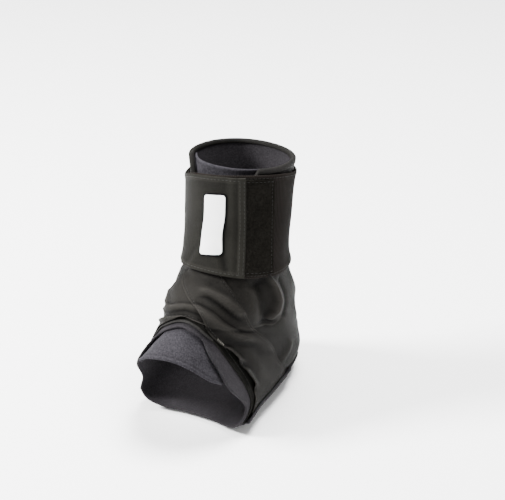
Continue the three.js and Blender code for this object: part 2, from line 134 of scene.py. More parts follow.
# Folds: the line's points as (along, around), then height and width
BODY_FOLDS = [
    ([(.34, 60), (.42, 70), (.49, 77)], -1.9, 9.5),
    ([(.34, -66), (.42, -76), (.49, -84)], -1.6, 9.5),
    ([(.57, 54), (.60, 66)], 1.6, 12.0),
    ([(.36, 100), (.46, 103)], -1.1, 9.0),
    ([(.36, -104), (.46, -106)], -1.0, 9.0),
    ([(.335, 62), (.38, 66), (.43, 70), (.48, 74)], -4.6, 7.0),
    ([(.335, 88), (.37, 92), (.41, 95), (.46, 93)], -1.8, 3.4),
    ([(.47, 178), (.49, 150), (.52, 132)], -0.8, 5.0),
    ([(.47, -178), (.49, -150), (.52, -132)], -0.8, 5.0),
]
SHELL_FOLDS = [
    ([(.345, -62), (.35, -86)], 2.6, 7.5),
    ([(.60, 98), (.64, 96), (.69, 90)], 1.2, 3.0),
    ([(.62, 108), (.67, 104)], -1.2, 3.5),
    ([(.43, 118), (.50, 128), (.56, 145)], 1.0, 4.0),
    ([(.43, -118), (.50, -128), (.56, -145)], 1.0, 4.0),
    ([(.36, 160), (.375, 180)], 1.1, 4.0),
    ([(.36, -160), (.375, -180)], 1.1, 4.0),
    ([(.42, 165), (.41, 180)], 0.8, 3.6),
    ([(.42, -165), (.41, -180)], 0.8, 3.6),
    ([(.34, 118), (.38, 128), (.41, 140)], 1.0, 3.5),
    ([(.50, -100), (.56, -96)], 0.8, 4.0),
    ([(.44, -70), (.50, -62), (.54, -60)], 1.3, 3.2),
    ([(.48, -84), (.53, -72), (.58, -70)], 1.1, 3.4),
    ([(.72, 100), (.80, 104)], 0.5, 4.0),
]
OVER_FOLDS = [
    ([(.40, 10), (.418, 25), (.448, 40)], 3.2, 6.5),
    ([(.455, 12), (.475, 27), (.507, 39), (.535, 51)], -5.0, 4.2),
    ([(.522, 14), (.542, 23), (.57, 35), (.605, 49)], 3.2, 6.4),
    ([(.585, 50), (.60, 62), (.63, 72)], 1.4, 6.0),
    ([(.66, 58), (.72, 70), (.76, 80)], 0.9, 5.0),
    ([(.69, 43), (.735, 54)], 3.2, 4.0),
    ([(.775, 66), (.81, 79)], 3.0, 3.6),
    ([(.30, -22), (.34, -10)], 0.8, 5.0),
]
UNDER_FOLDS = [
    ([(.30, 70), (.34, 77), (.39, 81), (.435, 81), (.475, 78)], 3.0, 2.8),
    ([(.625, -36), (.59, -16), (.566, -3)], 2.2, 3.4),
    ([(.592, -34), (.568, -14), (.545, 0), (.545, 14)], -5.0, 3.4),
    ([(.545, -34), (.528, -16), (.508, -4), (.50, 8)], 1.8, 3.6),
    ([(.41, -54), (.47, -42), (.49, -36)], 1.7, 4.2),
    ([(.485, -48), (.515, -34), (.525, -26)], 1.4, 3.4),
    ([(.47, -60), (.53, -52)], 0.9, 4.5),
    ([(.60, -60), (.66, -56)], 0.8, 4.5),
    ([(.36, 50), (.42, 56), (.47, 66)], 0.6, 4.0),
]


# The foot and shank as a surface
def shank_row(up, front, back, inner, outer):
    """A ring of the shank: reach and height of its front and back, its widths and roundness."""
    rise = up * SHANK_LENGTH
    reach = ANKLE_REACH - rise * math.sin(SHANK_LEAN)
    height = SOLE_LEVEL + ANKLE_RISE + rise * math.cos(SHANK_LEAN)
    c, s = math.cos(SHANK_LEAN), math.sin(SHANK_LEAN)
    front, back = front * SHANK_DEPTH, back * SHANK_DEPTH
    side = -max(rise - 0.2 * SHANK_LENGTH, 0) * math.tan(SHANK_TILT)
    return (reach + front * c, height + front * s, reach - back * c, height - back * s,
            inner * SHANK_WIDTH, outer * SHANK_WIDTH, 0.52, 2.1, 2.1, side)


def foot_row(top_reach, top_rise, sole_reach, sole_rise, inner, outer, widest, top, sole):
    """A ring of the foot, in the same order as the shank's."""
    return (top_reach * FOOT_REACH, SOLE_LEVEL + top_rise * ANKLE_RISE,
            sole_reach * FOOT_REACH, SOLE_LEVEL + sole_rise * ANKLE_RISE,
            inner * FOOT_WIDTH, outer * FOOT_WIDTH, widest, top, sole, 0.0)


SECTIONS = np.array([shank_row(*r) for r in SHANK_SECTIONS] + [foot_row(*r) for r in FOOT_SECTIONS])
PADDED = np.vstack([2 * SECTIONS[0] - SECTIONS[1], SECTIONS, 2 * SECTIONS[-1] - SECTIONS[-2]])


def section_at(along):
    """The ring at a place along, smoothly between the rings of the table."""
    last = len(SECTIONS) - 1
    x = np.clip(along, 0, 1) * last
    k = np.minimum(np.floor(x).astype(int), last - 1)
    w = (x - k)[..., None]
    a, b, c, d = (PADDED[k + n] for n in range(4))
    return 0.5 * (2 * b + (c - a) * w + (2 * a - 5 * b + 4 * c - d) * w ** 2
                  + (3 * b - a - 3 * c + d) * w ** 3)


def bare(along, around):
    """Points on the bare foot and shank."""
    along, around = np.broadcast_arrays(along, around)
    (front_reach, front_height, back_reach, back_height, inner, outer, widest, front_power,
     back_power, side) = np.moveaxis(section_at(along), -1, 0)
    c, n = np.cos(np.radians(around)), np.sin(np.radians(around))
    in_front = c > 0
    power = 2 / np.where(in_front, front_power, back_power)
    middle_reach = back_reach + (front_reach - back_reach) * widest
    middle_height = back_height + (front_height - back_height) * widest
    share = np.abs(c) ** power
    reach = middle_reach + (np.where(in_front, front_reach, back_reach) - middle_reach) * share
    height = middle_height + (np.where(in_front, front_height, back_height) - middle_height) * share
    width = np.where(n > 0, outer, -inner) * np.abs(n) ** power
    return np.stack([side + width, ANKLE_REACH - reach, np.maximum(height, SOLE_LEVEL)], -1)


def unit(v):
    return v / np.maximum(np.linalg.norm(v, axis=-1, keepdims=True), 1e-9)


def bare_normal(along, around, step=0.004):
    """The bare surface's outward directions."""
    down = bare(np.minimum(along + step, 1), around) - bare(np.maximum(along - step, 0), around)
    across = bare(along, around + 1.0) - bare(along, around - 1.0)
    return unit(np.cross(down, across))


def ease(t):
    t = np.clip(t, 0, 1)
    return t * t * (3 - 2 * t)


def signed(around):
    return around - 360 * np.round(around / 360)


def lift(folds, along, around):
    """How far a set of folds raises the surface; past its ends a fold fades as it does sideways."""
    total = np.zeros(np.broadcast(along, around).shape)
    for line, rise, width in folds:
        near = np.full(total.shape, np.inf)
        for (u0, a0), (u1, a1) in zip(line, line[1:]):
            turn = np.round((around - a0) / 360) * 360
            x, y = (along - u0) * ALONG_MM, (around - turn - a0) * AROUND_MM
            dx, dy = (u1 - u0) * ALONG_MM, (a1 - a0) * AROUND_MM
            t = np.clip((x * dx + y * dy) / (dx * dx + dy * dy), 0, 1)
            near = np.minimum(near, np.hypot(x - t * dx, y - t * dy))
        total += rise * np.exp(-(near / width) ** 2)
    return total


def ripple(along, around, size, seed):
    """Smooth random waves of about that size, between -1 and 1, closed round the brace."""
    cells = max(int(round(360 * AROUND_MM / size)), 3)
    lattice = np.random.default_rng(seed).uniform(-1, 1, (cells, int(ALONG_MM / size) + 4))
    x = (np.mod(around, 360) / 360) * cells
    y = np.clip(along, 0, 1) * ALONG_MM / size
    i, j = np.floor(x).astype(int), np.floor(y).astype(int)
    p, q = x - i, y - j
    p, q = p * p * (3 - 2 * p), q * q * (3 - 2 * q)

    def at(di, dj):
        return lattice[(i + di) % cells, np.minimum(j + dj, lattice.shape[1] - 1)]

    return (at(0, 0) * (1 - p) + at(1, 0) * p) * (1 - q) + (at(0, 1) * (1 - p) + at(1, 1) * p) * q


def place(along, around, offset, above=0.0):
    """Points of the worn brace in millimetres."""
    along, around, offset = np.broadcast_arrays(*map(np.asarray, (along, around, offset)))
    points = bare(along, around)
    points = points + bare_normal(along, around) * (offset + lift(BODY_FOLDS, along, around))[..., None]
    up = unit(bare(np.zeros_like(along), around) - bare(np.full_like(along, 0.01), around))
    return points + up * np.broadcast_to(above, along.shape)[..., None]


def curve(table):
    """A smooth curve through a table of (around, along)."""
    x, y = (np.array(v, float) for v in zip(*table))
    slope = np.gradient(y, x)

    def at(around):
        k = np.clip(np.searchsorted(x, around) - 1, 0, len(x) - 2)
        h = x[k + 1] - x[k]
        t = np.clip((around - x[k]) / h, 0, 1)
        return (y[k] * (1 + 2 * t) * (1 - t) ** 2 + y[k + 1] * t * t * (3 - 2 * t)
                + slope[k] * h * t * (1 - t) ** 2 - slope[k + 1] * h * t * t * (1 - t))
    return at


notch, shell_front, liner_front = curve(NOTCH_EDGE), curve(SHELL_FRONT), curve(LINER_FRONT)
tongue_front = curve(TONGUE_FRONT)
cuff_edge = curve(CUFF_EDGE)
over_front, over_rear = curve(OVER_FRONT), curve(OVER_REAR)
under_front, under_rear = curve(UNDER_FRONT), curve(UNDER_REAR)


def cuff_top(around):
    """The cuff's upper edge, a share of the rim's height below the rim."""
    return drop(RIM_HEIGHT * cuff_edge(signed(around)))


def inside(along, around, front, rear, span):
    """Distance in from a strap's outline, below zero outside it."""
    ends = np.minimum(around - span[0], span[1] - around) * AROUND_MM
    return np.minimum(np.minimum(front(around) - along, along - rear(around)) * ALONG_MM, ends)


def under_cover(along, around, ramp=4.0):
    """1 where the under strap covers the place, falling to 0 over that many millimetres."""
    a = signed(around)
    return ease(1 + inside(along, a, under_front, under_rear, UNDER_SPAN) / ramp)


def over_cover(along, around, ramp=4.0):
    """The same for the over strap."""
    a = signed(around)
    return ease(1 + inside(along, a, over_front, over_rear, OVER_SPAN) / ramp)


# Materials
def shader(name, sheen=0.0, sheen_roughness=0.5, roughness=0.8, specular=0.35, tint=(1, 1, 1)):
    made = bpy.data.materials.new(name)
    made.use_nodes = True
    tree = made.node_tree
    tree.nodes.clear()
    out = tree.nodes.new("ShaderNodeOutputMaterial")
    bsdf = tree.nodes.new("ShaderNodeBsdfPrincipled")
    tree.links.new(bsdf.outputs["BSDF"], out.inputs["Surface"])
    bsdf.inputs["Roughness"].default_value = roughness
    bsdf.inputs["Sheen Weight"].default_value = sheen
    bsdf.inputs["Sheen Roughness"].default_value = sheen_roughness
    bsdf.inputs["Sheen Tint"].default_value = (*tint, 1)
    bsdf.inputs["Specular IOR Level"].default_value = specular
    return made, Graph(tree), bsdf


class Graph:
    """Short calls for the nodes that the cloth materials share."""

    def __init__(self, tree):
        self.tree = tree
        self.links = tree.links

    def put(self, socket, value):
        if isinstance(value, bpy.types.NodeSocket):
            self.links.new(value, socket)
        elif hasattr(value, "__len__") and len(value) == 3 and socket.type == "RGBA":
            socket.default_value = (*value, 1)
        else:
            socket.default_value = value

    def node(self, kind, settings=(), **inputs):
        n = self.tree.nodes.new(kind)
        for key, value in settings:
            setattr(n, key, value)
        for key, value in inputs.items():
            self.put(n.inputs[key.replace("_", " ")], value)
        return n

    def math(self, operation, a, b=0.0):
        n = self.tree.nodes.new("ShaderNodeMath")
        n.operation = operation
        self.put(n.inputs[0], a)
        self.put(n.inputs[1], b)
        return n.outputs[0]

    def mix(self, share, a, b):
        n = self.tree.nodes.new("ShaderNodeMix")
        n.data_type = "RGBA"
        self.put(n.inputs[0], share)
        self.put(n.inputs[6], a)
        self.put(n.inputs[7], b)
        return n.outputs[2]

    def noise(self, where, scale, detail=3.0, roughness=0.55):
        n = self.node("ShaderNodeTexNoise", Vector=where, Scale=scale, Detail=detail)
        n.inputs["Roughness"].default_value = roughness
        return n.outputs["Fac"]

    def spread(self, value, low, high):
        n = self.node("ShaderNodeMapRange", Value=value)
        n.inputs["From Min"].default_value = low
        n.inputs["From Max"].default_value = high
        return n.outputs[0]

    def space(self):
        return self.node("ShaderNodeTexCoord").outputs["Object"]

    def threads(self):
        """The cloth's own coordinates in millimetres: across and along."""
        uv = self.node("ShaderNodeUVMap", [("uv_map", "cloth")]).outputs[0]
        parts = self.node("ShaderNodeSeparateXYZ", Vector=uv)
        return (self.math("MULTIPLY", parts.outputs[0], CLOTH_UV),
                self.math("MULTIPLY", parts.outputs[1], CLOTH_UV))

    def wave(self, where, pitch):
        return self.math("SINE", self.math("MULTIPLY", where, 2 * math.pi / pitch))

    def attribute(self, name):
        return self.node("ShaderNodeAttribute", [("attribute_name", name)]).outputs["Fac"]

    def bump(self, height, strength, distance, normal=None):
        n = self.node("ShaderNodeBump", Height=height, Strength=strength, Distance=distance)
        if normal is not None:
            self.links.new(normal, n.inputs["Normal"])
        return n.outputs[0]


def woven(name, dark, light, pitch=0.75, sheen=0.0, roughness=0.6, specular=0.03, grain=0.6):
    """Plain woven nylon: fine threads both ways, faded patches, lighter worn edges, ridges lighter as a
    painted highlight and creases darker as painted shade.
    """
    made, g, bsdf = shader(name, sheen, 0.45, roughness, specular)
    across, along = g.threads()
    space = g.space()
    wobble = g.math("MULTIPLY", g.noise(space, 260.0, 2.0), 0.5)
    warp = g.wave(g.math("ADD", across, wobble), pitch)
    weft = g.wave(g.math("ADD", along, wobble), pitch)
    weave = g.math("MULTIPLY", warp, weft)
    patches = g.spread(g.noise(space, 38.0, 4.0, 0.6), 0.36, 0.66)
    flecks = g.spread(g.noise(space, 900.0, 2.0), 0.3, 0.75)
    colour = g.mix(g.math("MULTIPLY", patches, 0.55), dark, light)
    colour = g.mix(g.math("MULTIPLY", flecks, 0.22), colour, tuple(1.5 * v for v in light))
    # lighter at worn edges and hems, and on ridges as a painted highlight
    colour = g.mix(g.math("MULTIPLY", g.attribute("wear_and_highlight"), 0.45), colour,
                   tuple(1.9 * v for v in light))
    # painted shade: darker in the creases and wherever shade is given (below the cuff, along the outer
    # side)
    colour = g.mix(g.math("MULTIPLY", g.attribute("painted_shade"), 0.85), colour,
                   tuple(0.2 * v for v in dark))
    g.put(bsdf.inputs["Base Color"], colour)
    fine = g.bump(weave, grain, 0.00012)
    soft = g.bump(g.noise(space, 120.0, 3.0), 0.25, 0.0012, fine)
    g.put(bsdf.inputs["Normal"], soft)
    return made


def knitted(name, dark, light, size=1.0, sheen=0.01, grain=0.8, rows=0.0):
    """Heathered knit or felt: two yarn colours in small flecks over a fuzzy ground, with painted shade
    in the creases.
    """
    made, g, bsdf = shader(name, sheen, 0.6, 0.95, 0.05, (0.86, 0.84, 0.92))
    space = g.space()
    flecks = g.spread(g.noise(space, 780.0 / size, 3.0, 0.7), 0.38, 0.64)
    clouds = g.spread(g.noise(space, 160.0 / size, 3.0), 0.3, 0.7)
    colour = g.mix(g.math("MULTIPLY", flecks, 0.75), dark, light)
    colour = g.mix(g.math("MULTIPLY", clouds, 0.3), colour, tuple(0.75 * v for v in dark))
    # painted shade: darker in the creases
    colour = g.mix(g.math("MULTIPLY", g.attribute("painted_shade"), 0.6), colour,
                   tuple(0.3 * v for v in dark))
    g.put(bsdf.inputs["Base Color"], colour)
    height = g.noise(space, 620.0 / size, 4.0, 0.75)
    if rows:
        across, along = g.threads()
        loops = g.math("MULTIPLY", g.wave(across, rows), g.wave(along, 0.8 * rows))
        height = g.math("ADD", height, g.math("MULTIPLY", loops, 0.35))
    g.put(bsdf.inputs["Normal"], g.bump(height, grain, 0.0005))
    return made


def ribbed(name, dark, light, pitch=1.7, grain=0.5):
    """Woven elastic: round ribs that run up and down, crossed by fine picks."""
    made, g, bsdf = shader(name, 0.0, 0.5, 0.8, 0.02)
    across, along = g.threads()
    space = g.space()
    wander = g.math("MULTIPLY", g.noise(space, 90.0, 2.0), 0.8)
    ribs = g.wave(g.math("ADD", across, wander), pitch)
    picks = g.wave(along, 0.7)
    # painted shade: the colour is darker between the ribs and lighter on them
    shade = g.spread(ribs, -1.0, 0.8)
    patches = g.spread(g.noise(space, 45.0, 3.0), 0.35, 0.65)
    colour = g.mix(g.math("MULTIPLY", shade, 0.7), dark, light)
    colour = g.mix(g.math("MULTIPLY", patches, 0.35), colour, tuple(1.25 * v for v in light))
    # lighter at worn edges and hems, and on ridges as a painted highlight
    colour = g.mix(g.math("MULTIPLY", g.attribute("wear_and_highlight"), 0.4), colour,
                   tuple(1.6 * v for v in light))
    g.put(bsdf.inputs["Base Color"], colour)
    height = g.math("ADD", ribs, g.math("MULTIPLY", picks, 0.25))
    g.put(bsdf.inputs["Normal"], g.bump(height, grain, 0.0003))
    return made


def looped(name, dark, light):
    """Brushed loop pile: matted, very dark, with a soft sheen."""
    made, g, bsdf = shader(name, 0.0, 0.35, 1.0, 0.0)
    space = g.space()
    tufts = g.spread(g.noise(space, 520.0, 4.0, 0.75), 0.35, 0.7)
    strokes = g.spread(g.noise(space, 75.0, 3.0, 0.6), 0.35, 0.65)
    colour = g.mix(tufts, dark, light)
    colour = g.mix(g.math("MULTIPLY", strokes, 0.4), colour, tuple(0.6 * v for v in dark))
    g.put(bsdf.inputs["Base Color"], colour)
    height = g.math("ADD", g.noise(space, 420.0, 4.0, 0.8), g.math("MULTIPLY", strokes, 0.5))
    g.put(bsdf.inputs["Normal"], g.bump(height, 1.0, 0.0009))
    return made


def moulded(name, colour, shade):
    """Soft matt plastic with a faint grain and slight soiling."""
    made, g, bsdf = shader(name, 0.0, 0.5, 0.42, 0.5)
    space = g.space()
    stains = g.spread(g.noise(space, 90.0, 4.0), 0.45, 0.8)
    g.put(bsdf.inputs["Base Color"], g.mix(g.math("MULTIPLY", stains, 0.35), colour, shade))
    g.put(bsdf.inputs["Normal"], g.bump(g.noise(space, 1400.0, 2.0), 0.12, 0.0002))
    return made


def thread(name, dark, light):
    """Twisted sewing thread."""
    made, g, bsdf = shader(name, 0.03, 0.4, 0.6, 0.15)
    space = g.space()
    colour = g.mix(g.spread(g.noise(space, 1500.0, 2.0), 0.35, 0.65), dark, light)
    g.put(bsdf.inputs["Base Color"], colour)
    g.put(bsdf.inputs["Normal"], g.bump(g.noise(space, 2600.0, 2.0), 0.5, 0.0001))
    return made


NYLON = woven("nylon", (.0030, .0028, .0023), (.0065, .0062, .0052))
STRAP_CLOTH = woven("strap_nylon", (.0056, .0051, .0044), (.0128, .0119, .0107), pitch=0.85)
TAB_CLOTH = woven("tab_nylon", (.0046, .0044, .0036), (.0090, .0086, .0072), pitch=0.8)
TAPE = woven("binding_tape", (.0070, .0066, .0062), (.0130, .0122, .0114), pitch=0.6)
# a little lighter than the nylon, and lighter still as a painted highlight on the rolled edge
ARCH_TAPE_AND_HIGHLIGHT = woven("arch_tape", (.0110, .0105, .0100), (.0200, .0192, .0182), pitch=0.6)
HEATHER = knitted("heather_knit", (.0112, .0104, .0123), (.0315, .0296, .0338), 1.0)
FELT = knitted("felt", (.0108, .0098, .0110), (.0248, .0228, .0252), 0.8)
SOLE_KNIT = knitted("sole_knit", (.0110, .0104, .0114), (.0240, .0230, .0248), 0.9, rows=1.6)
ELASTIC = ribbed("ribbed_elastic", (.0036, .0029, .0025), (.0082, .0070, .0062))
PILE = looped("loop_pile", (.0040, .0037, .0031), (.0105, .0098, .0084))
PILE_THREAD = thread("pile_thread", (.0032, .0030, .0027), (.0070, .0066, .0058))
WHITE = moulded("label_white", (.86, .86, .85), (.76, .75, .73))
LABEL_EDGE = woven("label_edge", (.0008, .0008, .0010), (.0018, .0018, .0022), pitch=0.6)
THREAD = thread("thread", (.0050, .0047, .0042), (.0105, .0098, .0089))
# the bar tack's thread is painted far lighter than the other threads, as a painted highlight
TACK_THREAD_HIGHLIGHT = thread("tack_thread_highlight", (.060, .057, .050), (.120, .115, .100))
THREAD_LIGHT = thread("thread_light", (.0075, .0071, .0064), (.0160, .0152, .0140))


# Meshes
def make(name, points, faces, material, corners=None, wear_and_highlight=None, painted_shade=None, slot=None,
         replaces=()):
    """A mesh object in metres from points in millimetres, riding on the brace."""
    mesh = bpy.data.meshes.new(name)
    mesh.from_pydata((np.asarray(points) / 1000).tolist(), [], faces)
    mesh.validate()
    if corners is not None:
        layer = mesh.uv_layers.new(name="cloth")
        layer.data.foreach_set("uv", np.asarray(corners, np.float32).ravel())
    if wear_and_highlight is not None:
        attribute = mesh.attributes.new("wear_and_highlight", "FLOAT", "POINT")
        attribute.data.foreach_set("value", np.asarray(wear_and_highlight, np.float32).ravel())
    if painted_shade is not None:
        attribute = mesh.attributes.new("painted_shade", "FLOAT", "POINT")
        attribute.data.foreach_set("value", np.asarray(painted_shade, np.float32).ravel())
    mesh.shade_smooth()
    mesh.materials.append(material)
    made = bpy.data.objects.new(name, mesh)
    bpy.context.scene.collection.objects.link(made)
    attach(made, "root")
    if replaces:
        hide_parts(*replaces)
    return made


# A hollow this deep, in millimetres, gets the full painted shade
HOLLOW_DEPTH = 0.55
# Each cloth grid's outer points, outward directions and distances in from its four edges
SHEETS = {}


def ticks(count, length, edge=0.6):
    """Shares from 0 to 1 with a few close steps at both ends, for a rounded edge."""
    near = np.array([0, 0.12, 0.45, 1.0]) * edge / length
    middle = np.linspace(near[-1], 1 - near[-1], count)[1:-1]
    return np.concatenate([near, middle, (1 - near)[::-1]])


def run(points, axis):
    """Running length of a grid of points along one axis."""
    step = np.linalg.norm(np.diff(points, axis=axis), axis=-1)
    start = np.zeros_like(np.take(step, [0], axis=axis))
    return np.concatenate([start, np.cumsum(step, axis=axis)], axis=axis)


def sheet_grid(name, along, around, base, thick, material, closed=False, relief=None, shade=0.0,
               **rest):
    """A closed cloth solid over a grid of places (columns, rows), with rounded edges.

    base is the offset of its inner face. relief takes the distances in from the four edges
    (top, bottom, start, end) and gives what is added to the outer face and to the wear.
    shade is more painted shade, added to the painted shade of the creases."""
    along, around, base, thick = np.broadcast_arrays(along, around, base, thick)
    middle = place(along, around, base + thick / 2)
    down, across = run(middle, 1), run(middle, 0)
    rows_in = [down, down[:, -1:] - down]
    columns_in = [across, across[-1:] - across]
    far = np.full(along.shape, 1e3)
    edges = rows_in + ([far, far] if closed else columns_in)
    near = np.minimum.reduce(edges)
    radius = thick / 2
    half = radius * np.sqrt(np.clip(1 - (1 - np.minimum(near / radius, 1)) ** 2, 0.05, 1))
    extra, wear_and_highlight = (np.zeros(along.shape),) * 2 if relief is None else relief(*edges)
    outer = place(along, around, base + radius + half + extra)
    inner = place(along, around, base + radius - half)
    relief_height = base + thick + extra + lift(BODY_FOLDS, along, around)
    # painted shade: hollows below the blurred surface are darkened, with the given shade added
    level = blurred(relief_height, across[-1].mean(), down[:, -1].mean())
    hollow = (level - relief_height) / HOLLOW_DEPTH
    painted_shade = np.clip(np.clip(hollow, 0, 1) + shade, 0, 1)
    # painted highlight: ridges above the blurred surface are made lighter
    wear_and_highlight = wear_and_highlight + 0.8 * np.clip(-hollow, 0, 1)
    SHEETS[name] = (outer, bare_normal(along, around), rows_in + columns_in)
    columns, rows = along.shape
    count = columns - 1 if closed else columns
    i, j = np.meshgrid(np.arange(columns - 1), np.arange(rows - 1), indexing="ij")

    def quads(side, a, b, c, d):
        """Vertex numbers and grid numbers of a set of quads."""
        shift = 0 if side else count * rows
        at = [((x % count) * rows + y + shift, x * rows + y) for x, y in (a, b, c, d)]
        return (np.stack([v.ravel() for v, _ in at], 1), np.stack([g.ravel() for _, g in at], 1))

    sets = [quads(1, (i, j), (i, j + 1), (i + 1, j + 1), (i + 1, j)),
            quads(0, (i, j), (i + 1, j), (i + 1, j + 1), (i, j + 1))]
    low = count * rows

    def wall(a, b):
        """Quads between the two faces along an edge, from place a to place b."""
        va, vb = (a[0] % count) * rows + a[1], (b[0] % count) * rows + b[1]
        ga, gb = a[0] * rows + a[1], b[0] * rows + b[1]
        return (np.stack([va, vb, vb + low, va + low], 1), np.stack([ga, gb, gb, ga], 1))

    x, y = np.arange(columns - 1), np.arange(rows - 1)
    zero, top = np.zeros_like(x), np.full_like(x, rows - 1)
    sets += [wall((x, zero), (x + 1, zero)), wall((x + 1, top), (x, top))]
    if not closed:
        zero, top = np.zeros_like(y), np.full_like(y, columns - 1)
        sets += [wall((zero, y + 1), (zero, y)), wall((top, y), (top, y + 1))]
    faces = np.concatenate([v for v, _ in sets])
    grid = np.concatenate([g for _, g in sets])
    centre = across[columns // 2:columns // 2 + 1]
    uv = np.stack([(across - centre) / CLOTH_UV, down / CLOTH_UV], -1).reshape(-1, 2)
    points = np.concatenate([outer[:count].reshape(-1, 3), inner[:count].reshape(-1, 3)])
    wear_and_highlights, painted_shades = (np.concatenate([v[:count].ravel()] * 2) for v in (wear_and_highlight, painted_shade))
    return make(name, points, faces.tolist(), material, uv[grid].reshape(-1, 2), wear_and_highlights, painted_shades,
                **rest)


def blurred(field, wide, tall, reach=5.0):
    """The field averaged over a patch of twice that reach in millimetres."""
    for axis, size in ((0, wide), (1, tall)):
        steps = max(int(round(reach / size * field.shape[axis])), 1)
        pad = [(steps, steps) if n == axis else (0, 0) for n in (0, 1)]
        field = np.apply_along_axis(np.convolve, axis, np.pad(field, pad, mode="edge"),
                                    np.hanning(2 * steps + 3)[1:-1] / (steps + 1), mode="valid")
    return field


def body_shade(along, around):
    """Painted shade: a painted shadow just below the cuff and, softly, darker cloth along the outer
    side of the foot.
    """
    below = 0.9 * np.exp(-(np.maximum(along - CUFF_END, 0) * ALONG_MM_ABOVE / 3.2) ** 2)
    return below + 0.5 * np.exp(-((around - 66) / 27) ** 2) * ease((along - 0.52) / 0.12)


def hem(distance, width, height):
    """A folded hem: raised near the edge."""
    return height * (1 - ease((distance - width + 0.8) / 1.6))


def worn_edge(distance, width=1.2):
    """Wear that fades with the distance from an edge."""
    return np.exp(-(distance / width) ** 2)


def seam(name, edge, inset, first=0.0, last=1.0):
    """Points and outward directions of a line on a sheet, that far in from one of its edges
    (0 top, 1 bottom, 2 start, 3 end), between two shares of the edge's length."""
    outer, normal, edges = SHEETS[name]
    distance = edges[edge]
    if edge > 1:
        outer, normal, distance = outer.swapaxes(0, 1), normal.swapaxes(0, 1), distance.T
    if edge % 2:
        outer, normal, distance = outer[:, ::-1], normal[:, ::-1], distance[:, ::-1]
    count = len(distance)
    lines = range(int(first * (count - 1)), int(last * (count - 1)) + 1)

    def pick(field):
        return np.array([[np.interp(inset, distance[i], field[i, :, m]) for m in range(3)]
                         for i in lines])

    return pick(outer), pick(normal)


# A stitch's rings: place in shares of its length, girth and rise in shares of its radius
STITCH_RINGS = [(-0.5, 0.35, -0.6), (-0.3, 0.95, 0.2), (0.3, 0.95, 0.2), (0.5, 0.35, -0.6)]


def between(where, distance, line):
    """The point or direction at a running distance along a line."""
    return np.array([np.interp(where, distance, line[:, m]) for m in range(3)])


def stitches(name, lines, material, pitch=3.2, length=2.5, radius=0.2, sides=5):
    """Rows of sewn stitches along lines of points, each stitch a small rounded thread."""
    points, faces = [], []
    turn = np.linspace(0, 2 * math.pi, sides, endpoint=False)
    rings = len(STITCH_RINGS)
    total = 0
    for line, normal in lines:
        distance = run(line, 0)
        whole = distance[-1]
        count = int(whole // pitch)
        for k in range(count):
            middle = (k + 0.5) * whole / count
            centre = between(middle, distance, line)
            ahead = unit(between(middle + 0.4, distance, line)
                         - between(middle - 0.4, distance, line))
            out = between(middle, distance, normal)
            out = unit(out - ahead * (out @ ahead))
            side = np.cross(ahead, out)
            for share, girth, rise in STITCH_RINGS:
                hub = centre + ahead * share * length + out * rise * radius
                points.extend(hub + (side * math.cos(t) + out * math.sin(t)) * radius * girth
                              for t in turn)
            for r in range(rings - 1):
                for q in range(sides):
                    n = (q + 1) % sides
                    a, b = total + r * sides, total + (r + 1) * sides
                    faces.append((a + q, b + q, b + n, a + n))
            faces.append(tuple(total + q for q in range(sides)))
            faces.append(tuple(total + (rings - 1) * sides + q for q in reversed(range(sides))))
            total += rings * sides
    make(name, points, faces, material)


def grid(columns, rows):
    return np.meshgrid(columns, rows, indexing="ij")


# Padded tongue, from the midfoot up past the rim
s, t = grid(ticks(70, 80, 1.2), ticks(150, 230, 1.2))
a = TONGUE_SPAN[0] + (TONGUE_SPAN[1] - TONGUE_SPAN[0]) * s
u = tongue_front(a) * t
puff = 1 - ease((np.abs(2 * s - 1) - 0.35) / 0.4)
thick = 1.75 + 0.95 * puff
thick = thick + 0.35 * ripple(u, a, 22, 3) * ease((u - 0.64) / 0.05)


def tongue_relief(*edges):
    near = np.minimum.reduce(edges)
    return -0.5 * np.exp(-((near - 3.5) / 0.8) ** 2), worn_edge(near)


tongue = sheet_grid("tongue_pad", u, a, TONGUE_INNER, thick, HEATHER, relief=tongue_relief,
                    slot="tongue", replaces=["tongue"])

# Felt liner and nylon shell
def rim_edge(around):
    return np.where(np.abs(around) < NOTCH_REACH, notch(around), 0)


def body_grid(front, columns, rows, edge):
    """Places all round the brace, from the notched rim to the front edge."""
    s, t = grid(np.linspace(0, 1, columns + 1), ticks(rows, 260, edge))
    around = -180 + 360 * s
    start, end = rim_edge(around), front(around)
    return start + (end - start) * t, around


u, a = body_grid(liner_front, 150, 140, 1.0)
felt_fuzz = 0.12 * ripple(u, a, 7, 11)
liner = sheet_grid("liner_felt", u, a, LINER[0] + felt_fuzz, LINER[1], FELT, closed=True,
                   slot="liner", replaces=["liner"])

u, a = body_grid(shell_front, 220, 200, 0.5)
wrinkles = lift(SHELL_FOLDS, u, a) + 0.22 * ripple(u, a, 16, 21) + 0.1 * ripple(u, a, 7, 22)
wrinkles = (wrinkles + 0.25) * ease((u - 0.05) / 0.1) * ease((shell_front(a) - u) / 0.03)
wrinkles = wrinkles * (1 - 0.7 * np.maximum(under_cover(u, a), over_cover(u, a)))


def shell_relief(top, bottom, start, end):
    return -0.2 * np.exp(-((bottom - 3.2) / 0.6) ** 2), worn_edge(bottom, 0.8)


shell = sheet_grid("shell_nylon", u, a, SHELL[0] + np.maximum(wrinkles, -0.15), SHELL[1], NYLON,
                   closed=True, relief=shell_relief, shade=body_shade(u, a), slot="shell",
                   replaces=["shell"])

